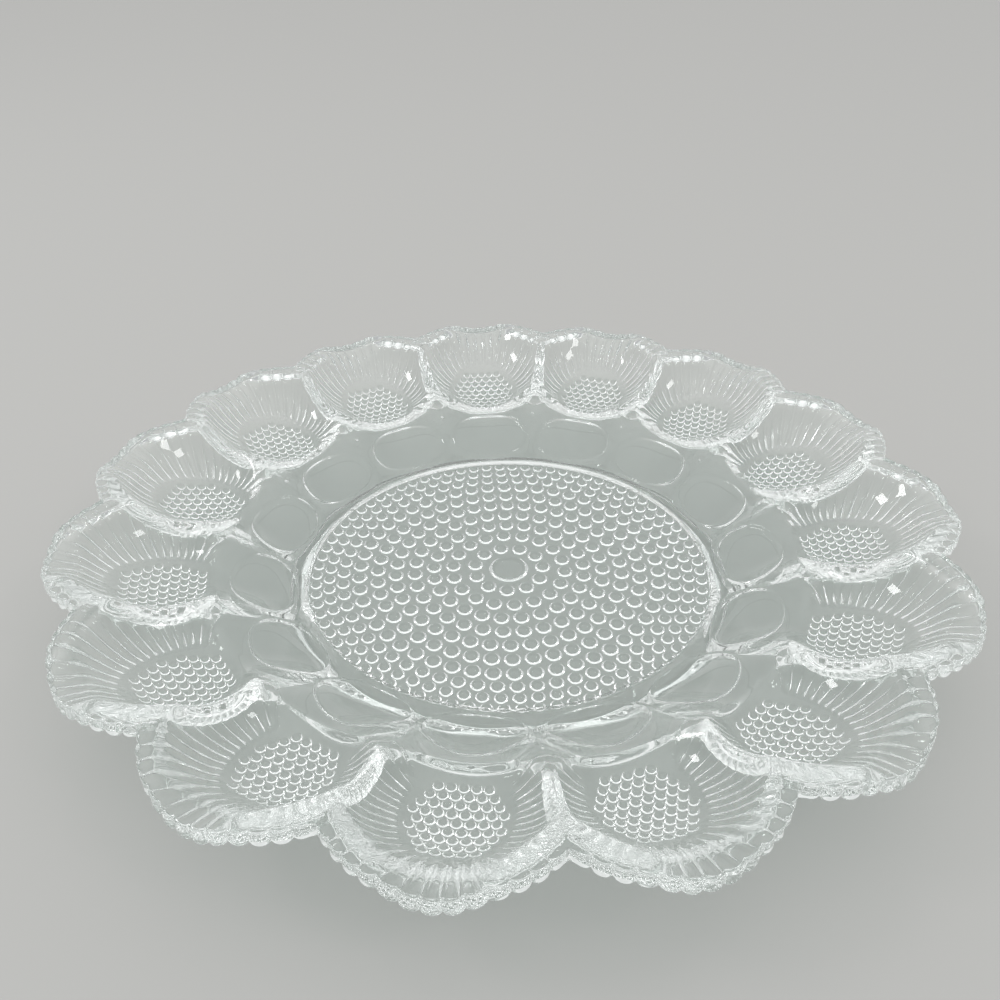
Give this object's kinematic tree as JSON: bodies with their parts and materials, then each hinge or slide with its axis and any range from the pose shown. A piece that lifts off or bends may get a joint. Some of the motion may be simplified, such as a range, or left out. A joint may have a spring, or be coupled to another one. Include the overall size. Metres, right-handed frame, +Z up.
{
  "type": "deviled egg platter",
  "caption": "Round scalloped platter in clear pressed glass, with a ring of egg-shaped cups round a flat hobnail centre well on a foot ring.",
  "frame": {"origin": "on the table under the centre of the well", "axes": "+Z up through the centre of the well; +Y out through the middle of egg cup 1"},
  "size_m": [0.2788, 0.2776, 0.032],
  "materials": {
    "pressed_glass": "clear pressed glass with a faint green-grey tint in its thick places, smooth and glossy above, patterned below"
  },
  "bodies": {
    "root": {"centre_floor": "pressed_glass", "foot_ring": "pressed_glass", "well_panel_01": "pressed_glass", "well_panel_02": "pressed_glass", "well_panel_03": "pressed_glass", "well_panel_04": "pressed_glass", "well_panel_05": "pressed_glass", "well_panel_06": "pressed_glass", "well_panel_07": "pressed_glass", "well_panel_08": "pressed_glass", "well_panel_09": "pressed_glass", "well_panel_10": "pressed_glass", "well_panel_11": "pressed_glass", "well_panel_12": "pressed_glass", "well_panel_13": "pressed_glass", "well_panel_14": "pressed_glass", "well_panel_15": "pressed_glass", "egg_cup_01": "pressed_glass", "egg_cup_02": "pressed_glass", "egg_cup_03": "pressed_glass", "egg_cup_04": "pressed_glass", "egg_cup_05": "pressed_glass", "egg_cup_06": "pressed_glass", "egg_cup_07": "pressed_glass", "egg_cup_08": "pressed_glass", "egg_cup_09": "pressed_glass", "egg_cup_10": "pressed_glass", "egg_cup_11": "pressed_glass", "egg_cup_12": "pressed_glass", "egg_cup_13": "pressed_glass", "egg_cup_14": "pressed_glass", "egg_cup_15": "pressed_glass"}
  },
  "joints": []
}
